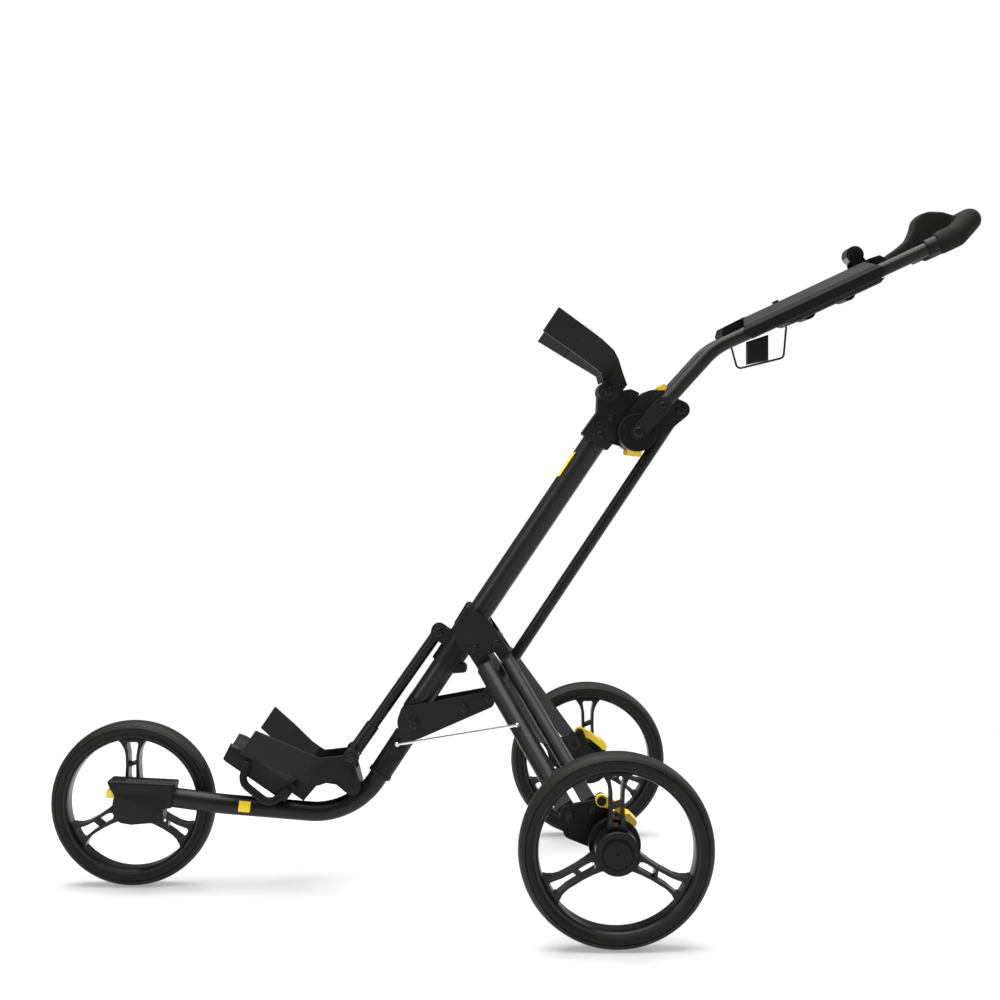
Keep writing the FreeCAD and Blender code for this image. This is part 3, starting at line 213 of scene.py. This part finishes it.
# ------------------------------------------------------------------ mesh helpers
def new_object(name, bm, mat, body, smooth=True):
    me = bpy.data.meshes.new(name)
    bmesh.ops.recalc_face_normals(bm, faces=bm.faces)
    bm.to_mesh(me)
    bm.free()
    me.materials.append(M[mat])
    if smooth:
        for p in me.polygons:
            p.use_smooth = True
        me.set_sharp_from_angle(angle=math.radians(35))
    ob = bpy.data.objects.new(name, me)
    bpy.context.scene.collection.objects.link(ob)
    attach(ob, body)
    return ob


def rings_to_mesh(bm, rings, close=True):
    rows = [[bm.verts.new(v) for v in r] for r in rings]
    n = len(rows[0])
    for a, b in zip(rows, rows[1:]):
        for k in range(n):
            bm.faces.new((a[k], a[(k + 1) % n], b[(k + 1) % n], b[k]))
    return rows


def bolt_heads(name, items, body, mat="black_steel", segs=36):
    """Button heads with a hexagon socket. Each item is (y, z, x_face, side, radius)."""
    bm = bmesh.new()
    for y, z, x, side, r in items:
        c = pt(y, z, x)
        prof = [(r * 1.02, -0.35), (r * 1.02, 0.35), (r * 0.93, 0.85), (r * 0.76, 1.25), (r * 0.62, 1.4)]
        hexr = r * 0.50
        rings = []
        for rad, h in prof:
            rings.append([c + Vector((side * h / 1000, rad * math.cos(a) / 1000, rad * math.sin(a) / 1000)) for a in [2 * math.pi * k / segs for k in range(segs)]])
        for h in (1.36, 0.1):
            ring = []
            for k in range(segs):
                a = 2 * math.pi * k / segs
                q = (a % (math.pi / 3)) - math.pi / 6
                rr = hexr * math.cos(math.pi / 6) / math.cos(q)
                ring.append(c + Vector((side * h / 1000, rr * math.cos(a) / 1000, rr * math.sin(a) / 1000)))
            rings.append(ring)
        rows = rings_to_mesh(bm, rings)
        bm.faces.new(rows[-1])
        bm.faces.new(rows[0][::-1])
    return new_object(name, bm, mat, body)


def lathe(name, profile, y, z, x0, side, body, mat, slot, segs=96):
    """Closed solid turned about the X line through (y, z); profile is (x, radius) pairs."""
    bm = bmesh.new()
    c = pt(y, z, x0)
    rings = []
    for dx, r in profile:
        rings.append([c + Vector((side * dx / 1000, r * math.cos(a) / 1000, r * math.sin(a) / 1000)) for a in [2 * math.pi * k / segs for k in range(segs)]])
    rows = rings_to_mesh(bm, rings)
    n = segs
    for k in range(n):
        bm.faces.new((rows[-1][k], rows[-1][(k + 1) % n], rows[0][(k + 1) % n], rows[0][k]))
    return new_object(name, bm, mat, body)


def wrap_patch(name, p0, p1, radius, mid_dir, half_deg, thick, body, mat, lean=0.0):
    """A thin band that hugs a tube from p0 to p1, centred on mid_dir."""
    d = (p1 - p0)
    ln = d.length
    d.normalize()
    m = (mid_dir - d * mid_dir.dot(d)).normalized()
    n = d.cross(m)
    bm = bmesh.new()
    na, nl = 20, 8
    grid = {}
    for lay, rad in enumerate((radius, radius + thick)):
        for i in range(nl + 1):
            for k in range(na + 1):
                a = math.radians(-half_deg + 2 * half_deg * k / na)
                along = ln * i / nl + lean * math.sin(a) * rad
                grid[lay, i, k] = bm.verts.new(p0 + d * along + (m * math.cos(a) + n * math.sin(a)) * rad)
    for i in range(nl):
        for k in range(na):
            bm.faces.new((grid[1, i, k], grid[1, i, k + 1], grid[1, i + 1, k + 1], grid[1, i + 1, k]))
            bm.faces.new((grid[0, i, k], grid[0, i + 1, k], grid[0, i + 1, k + 1], grid[0, i, k + 1]))
    for i in range(nl):
        for k in (0, na):
            bm.faces.new((grid[0, i, k], grid[1, i, k], grid[1, i + 1, k], grid[0, i + 1, k]))
    for k in range(na):
        for i in (0, nl):
            bm.faces.new((grid[0, i, k], grid[0, i, k + 1], grid[1, i, k + 1], grid[1, i, k]))
    return new_object(name, bm, mat, body)


# ------------------------------------------------------------------ fasteners with sockets
UPV = (0.557967, 0.829864)


def tube_pt(t):
    return (-13.4 + t * UPV[0], 398.9 + t * UPV[1])


def both(y, z, x, r):
    return [(y, z, x, 1, r), (y, z, -x, -1, r)]


b1, b2 = tube_pt(349.0), tube_pt(319.0)
bolt_heads("bracket_bolt_heads", both(*b1, 25.6, 4.6) + both(*b2, 25.6, 4.6) + both(176, 726, 39.5, 6.2) + both(217, 667, 60.0, 7.2), "backbone")
bolt_heads("handle_bolt_heads", both(252.5, 705.8, 58.6, 4.8) + both(282, 700, 30.4, 6.6), "handle")
bolt_heads("runner_bolt_heads", both(-18.9, 352.5, 43.6, 5.2) + both(13.1, 360.6, 43.6, 5.2) + both(-72, 373.5, 15.8, 6.0), "runner")
bolt_heads("frame_bolt_heads", both(-108, 241, 26.0, 7.0) + both(-34.4, 263.5, 25.8, 5.8) + both(2, 279, 25.8, 5.8) + both(-199, 193, 35.9, 6.0), "front_frame")
for side, s in (("left", 1), ("right", -1)):
    bolt_heads("hub_bolt_heads_" + side, [(108.5, 157.5, s * 237.0, s, 6.0), (140.5, 165.6, s * 237.0, s, 6.0)], "hub_carrier_" + side)

# ------------------------------------------------------------------ hub caps: three small screws each
def outer_face_x(names, y, z, side):
    """X, in mm, where a line from outside along X first meets one of the named pieces."""
    best = None
    for n in names:
        me = NODES[n].data
        tree = BVHTree.FromPolygons([v.co for v in me.vertices], [tuple(p.vertices) for p in me.polygons])
        hit = tree.ray_cast(pt(y, z, side * 900.0), Vector((-side, 0.0, 0.0)))[0]
        if hit is not None and (best is None or hit.x * side > best * side):
            best = hit.x
    return None if best is None else best * 1000.0


WHEELS = (("front", -522.0, 121.0, (-1, 1)), ("left", 166.0, 127.0, (1,)), ("right", 166.0, 127.0, (-1,)))
for tag, y, z, sides in WHEELS:
    items = []
    for side in sides[:1]:
        for a in (90, 210, 330):
            yy = y + 24.6 * math.cos(math.radians(a))
            zz = z + 24.6 * math.sin(math.radians(a))
            x = outer_face_x((tag + "_hub_cap", tag + "_rim"), yy, zz, side)
            if x is not None:
                items.append((yy, zz, x - side * 0.4, side, 2.4))
    if items:
        bolt_heads(tag + "_cap_screws", items, tag + "_wheel", segs=24)

# ------------------------------------------------------------------ plain yellow accents
front_dir = Vector((0.20, -UPV[1], UPV[0]))
a0, a1 = tube_pt(233.0), tube_pt(275.0)
wrap_patch("tube_accent", pt(*a0), pt(*a1), 0.01752, front_dir, 21.0, 0.00035, "backbone", "yellow_plastic", lean=0.5)


def on_front_tube(y):
    """A point on the straight, slanting run of the front tube, by its side-view y."""
    f = (y + 388.0) / 189.0
    return pt(y, 128.0 - 25.5 * f, 38.6 * (1 - f))


wrap_patch("front_tube_accent", on_front_tube(-363.0), on_front_tube(-347.0), 0.01432, Vector((1.0, 0.0, 0.12)), 32.0, 0.0003, "front_frame", "yellow_plastic")

# ------------------------------------------------------------------ foam grip, blended into one moulding
src = NODES["grip"]
me = src.data.copy()
grip = bpy.data.objects.new("foam_grip", me)
bpy.context.scene.collection.objects.link(grip)
me.materials.clear()
me.materials.append(M["foam"])
rm = grip.modifiers.new("rm", "REMESH")
rm.mode = "VOXEL"
rm.voxel_size = 0.0022
sm = grip.modifiers.new("sm", "SMOOTH")
sm.factor = 0.5
sm.iterations = 14
dg = bpy.context.evaluated_depsgraph_get()
done = bpy.data.meshes.new_from_object(grip.evaluated_get(dg))
grip.modifiers.clear()
grip.data = done
for p in done.polygons:
    p.use_smooth = True
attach(grip, "handle")
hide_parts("grip")

# ------------------------------------------------------------------ stage, light, camera
bm = bmesh.new()
N_R, N_A = 26, 72
rows = []
for i in range(N_R + 1):
    r = 14.0 * (i / N_R) ** 2
    rows.append([bm.verts.new((r * math.cos(2 * math.pi * k / N_A), r * math.sin(2 * math.pi * k / N_A), -0.0004)) for k in range(N_A)] if i else [bm.verts.new((0, 0, -0.0004))])
for k in range(N_A):
    bm.faces.new((rows[0][0], rows[1][k], rows[1][(k + 1) % N_A]))
for i in range(1, N_R):
    for k in range(N_A):
        bm.faces.new((rows[i][k], rows[i + 1][k], rows[i + 1][(k + 1) % N_A], rows[i][(k + 1) % N_A]))
fm = bpy.data.meshes.new("floor")
bm.to_mesh(fm)
bm.free()
floor = bpy.data.objects.new("floor", fm)
bpy.context.scene.collection.objects.link(floor)
mat = bpy.data.materials.new("floor_white")
mat.use_nodes = True
nt = mat.node_tree
nt.nodes.clear()
out = nt.nodes.new("ShaderNodeOutputMaterial")
df = nt.nodes.new("ShaderNodeBsdfPrincipled")
df.inputs["Base Color"].default_value = (0.93, 0.93, 0.93, 1)
df.inputs["Roughness"].default_value = 0.42
df.inputs["Specular IOR Level"].default_value = 0.25
em = nt.nodes.new("ShaderNodeEmission")
em.inputs["Strength"].default_value = 1.0
mx = nt.nodes.new("ShaderNodeMixShader")
geo = nt.nodes.new("ShaderNodeNewGeometry")
ln = nt.nodes.new("ShaderNodeVectorMath")
ln.operation = "LENGTH"
mr = nt.nodes.new("ShaderNodeMapRange")
mr.interpolation_type = "SMOOTHSTEP"
mr.inputs["From Min"].default_value = 0.75
mr.inputs["From Max"].default_value = 1.7
mr.inputs["To Min"].default_value = 0.32
nt.links.new(geo.outputs["Position"], ln.inputs[0])
nt.links.new(ln.outputs["Value"], mr.inputs["Value"])
nt.links.new(mr.outputs[0], mx.inputs[0])
nt.links.new(df.outputs[0], mx.inputs[1])
nt.links.new(em.outputs[0], mx.inputs[2])
nt.links.new(mx.outputs[0], out.inputs[0])
fm.materials.append(mat)

scene = bpy.context.scene
world = bpy.data.worlds.new("studio")
scene.world = world
world.use_nodes = True
wt = world.node_tree
wt.nodes.clear()
wo = wt.nodes.new("ShaderNodeOutputWorld")
bg_seen = wt.nodes.new("ShaderNodeBackground")
bg_seen.inputs["Strength"].default_value = 1.0
bg_seen.inputs["Color"].default_value = (1, 1, 1, 1)
bg_light = wt.nodes.new("ShaderNodeBackground")
bg_light.inputs["Strength"].default_value = 0.20
bg_light.inputs["Color"].default_value = (1, 1, 1, 1)
lp = wt.nodes.new("ShaderNodeLightPath")
wm = wt.nodes.new("ShaderNodeMixShader")
wt.links.new(lp.outputs["Is Camera Ray"], wm.inputs[0])
wt.links.new(bg_light.outputs[0], wm.inputs[1])
wt.links.new(bg_seen.outputs[0], wm.inputs[2])
wt.links.new(wm.outputs[0], wo.inputs[0])


def area(name, loc, target, size, energy, size_y=None):
    li = bpy.data.lights.new(name, "AREA")
    li.shape = "RECTANGLE"
    li.size = size
    li.size_y = size_y or size
    li.energy = energy
    ob = bpy.data.objects.new(name, li)
    ob.location = loc
    ob.rotation_euler = (Vector(target) - Vector(loc)).to_track_quat("-Z", "Y").to_euler()
    scene.collection.objects.link(ob)
    return ob


area("top_box", (0.0, -0.2, 2.9), (0, 0, 0), 3.0, 165.0, 3.0)
area("side_box", (1.6, -2.6, 1.6), (0, 0, 0.45), 1.0, 20.0, 1.2)
area("back_box", (-1.6, 2.3, 1.9), (0, 0, 0.5), 1.4, 34.0, 1.2)

cam = bpy.data.cameras.new("camera")
cam.sensor_width = 36.0
cam.lens = 55.6
cam.shift_x = 0.0124
cam.shift_y = -0.056
cam.clip_end = 100.0
co = bpy.data.objects.new("camera", cam)
co.matrix_world = Matrix(((0, 0, 1, 2.281), (1, 0, 0, -0.0385), (0, 1, 0, 0.650), (0, 0, 0, 1)))
scene.collection.objects.link(co)
scene.camera = co
scene.view_settings.view_transform = "Standard"
scene.view_settings.look = "None"

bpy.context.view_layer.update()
